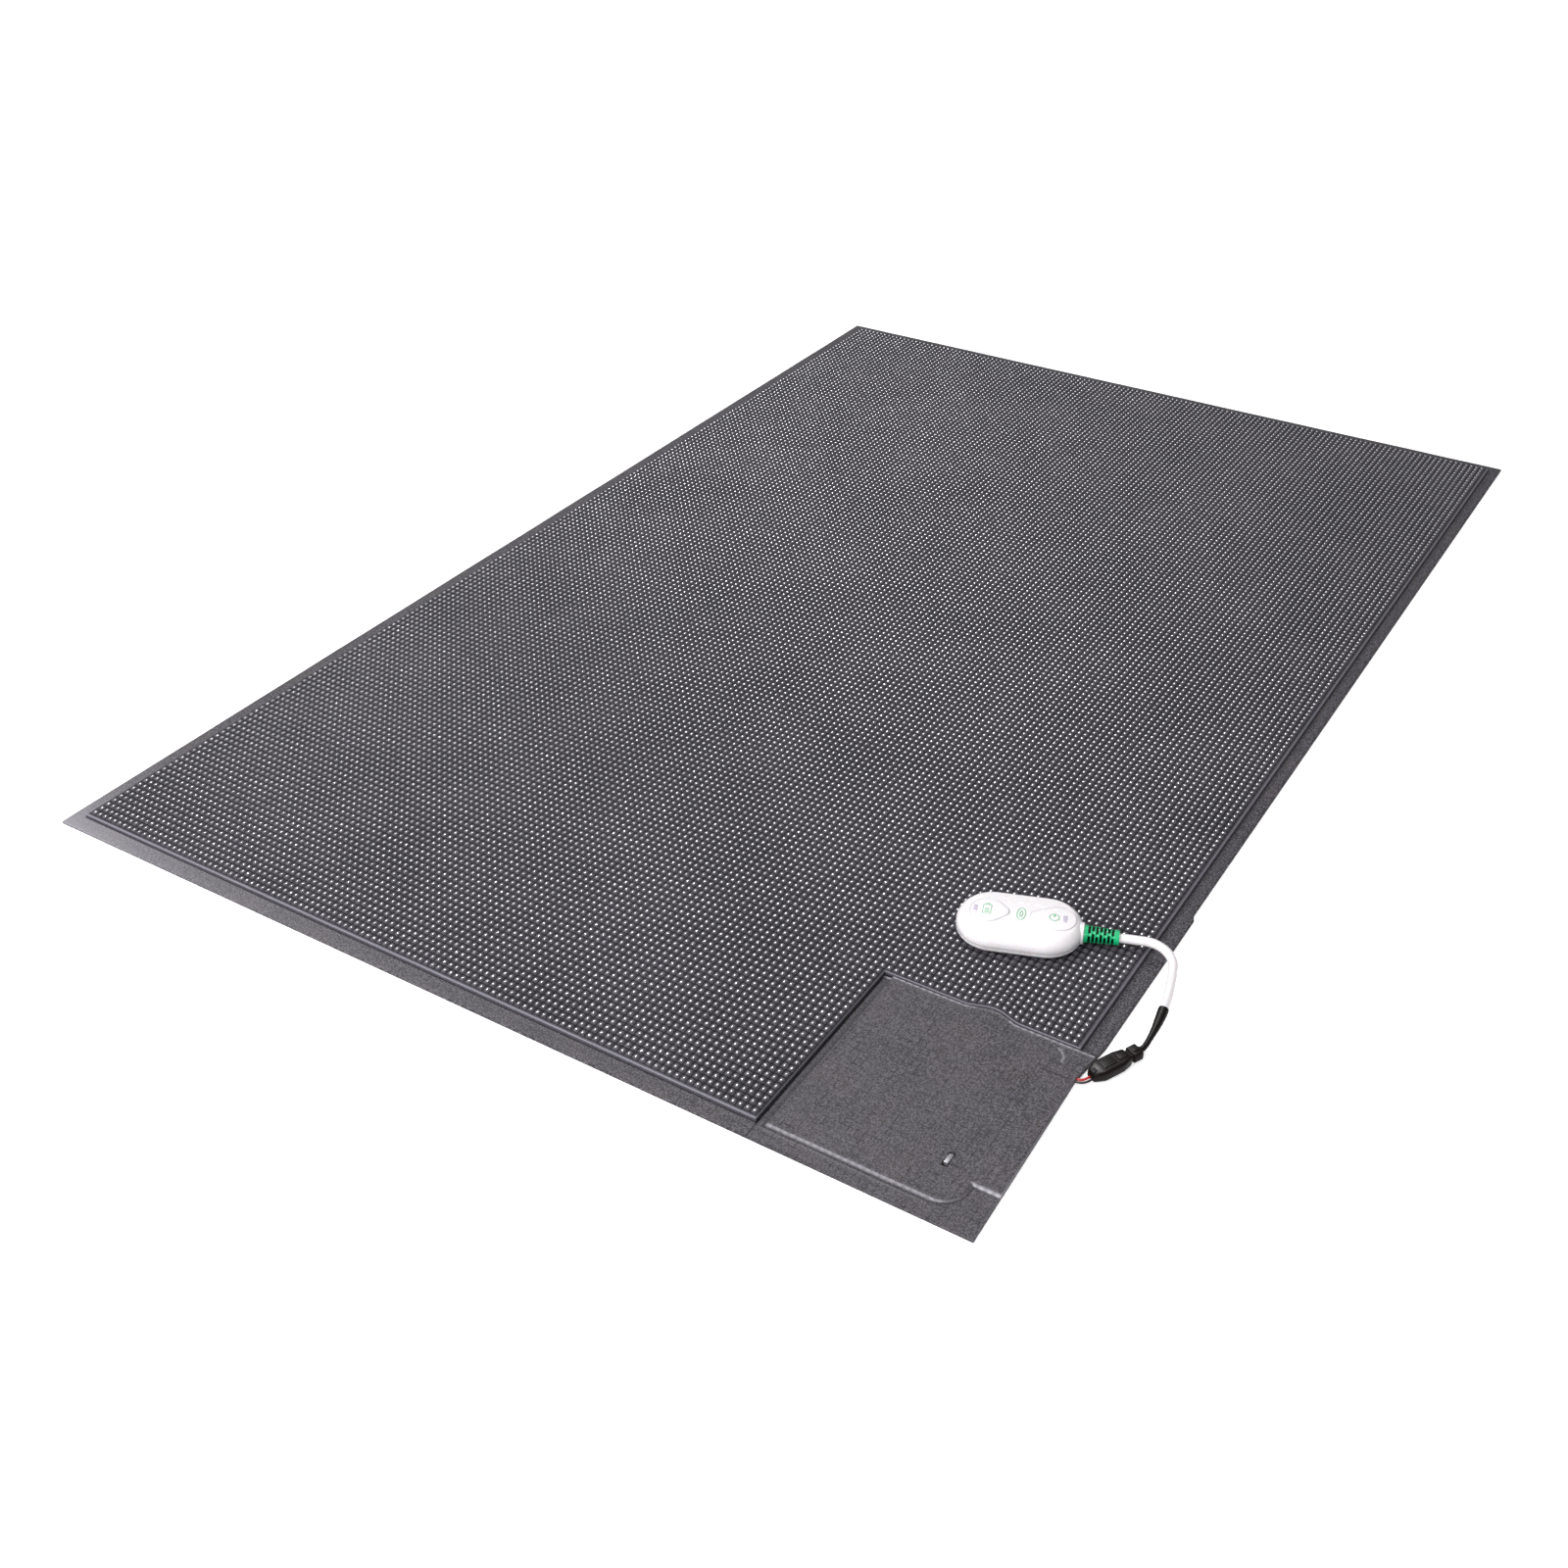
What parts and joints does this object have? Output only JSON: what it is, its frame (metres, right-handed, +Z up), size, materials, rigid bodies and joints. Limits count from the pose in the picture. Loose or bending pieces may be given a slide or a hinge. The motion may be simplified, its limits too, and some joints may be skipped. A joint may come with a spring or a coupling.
{
  "type": "weight-sensing floor mat",
  "caption": "Rectangular embossed weight-sensing floor mat with a smooth corner panel and a plug-in battery radio transmitter on a short cable.",
  "frame": {"origin": "centre of the mat's underside, on the floor", "axes": "+X across the mat towards the cable side, +Y along its length away from the corner panel, +Z up"},
  "size_m": [0.6292, 0.914, 0.0192],
  "materials": {
    "backing_vinyl": "matt, finely pebbled",
    "tread_vinyl": "satin, embossed bumps",
    "rim_vinyl": "matt, faint flattened grain",
    "panel_vinyl": "matt, faint flattened grain",
    "stiffener_plastic": "matt",
    "foil": "bright",
    "foam": "open-cell foam",
    "copper": "bright copper",
    "tinned_brass": "tinned",
    "red_insulation": "gloss",
    "black_insulation": "gloss",
    "tie_plastic": "satin",
    "connector_black": "satin",
    "case_white": "gloss, slightly warm white",
    "seal_rubber": "matt",
    "cell_steel": "bright, plain",
    "spring_steel": "nickel plated",
    "board_green": "solder resist",
    "module_can": "satin",
    "chip_black": "matt",
    "led_body": "clear",
    "light_window": "translucent, smoky violet",
    "screw_steel": "zinc plated",
    "boot_green": "satin, ribbed",
    "cable_white": "satin, slightly warm white",
    "sleeve_black": "satin heat-shrink"
  },
  "bodies": {
    "mat": {"base_sheet": "backing_vinyl", "lower_electrode": "foil", "spacer_foam": "foam", "cover_rim": "rim_vinyl", "corner_plate": "stiffener_plastic", "corner_panel": "panel_vinyl", "foil_tails": "copper", "lead_terminals": "tinned_brass", "lead_red": "red_insulation", "lead_black": "black_insulation", "lead_tie": "tie_plastic", "socket_housing": "connector_black", "socket_pins": "tinned_brass"},
    "tread": {"cover_field": "tread_vinyl", "upper_electrode": "foil"},
    "transmitter": {"pod_bottom": "case_white", "pod_top": "case_white", "pod_seal": "seal_rubber", "batteries": "cell_steel", "battery_springs": "spring_steel", "battery_plates": "spring_steel", "circuit_board": "board_green", "radio_module": "module_can", "controller_chip": "chip_black", "antenna": "copper", "leds": "led_body", "window_battery": "light_window", "window_status": "light_window", "pod_screws": "screw_steel", "strain_relief": "boot_green", "cable_jacket": "cable_white", "cable_cores": "red_insulation", "cable_sleeve": "sleeve_black", "plug_housing": "connector_black", "plug_contacts": "tinned_brass"},
    "door": {"battery_door": "case_white"}
  },
  "joints": [
    {"name": "unplug", "type": "slide", "parent": "mat", "child": "transmitter", "axis": [0.4305, 0.9026, 0], "range_m": [0, 0.014]},
    {"name": "tread_press", "type": "slide", "parent": "mat", "child": "tread", "axis": [0, 0, -1], "range_m": [0, 0.0007], "stiffness_N_per_m": 150000, "deforming": ["spacer_foam"]},
    {"name": "battery_door_slide", "type": "slide", "parent": "transmitter", "child": "door", "axis": [-0.9426, -0.3338, 0], "range_m": [0, 0.04]}
  ]
}
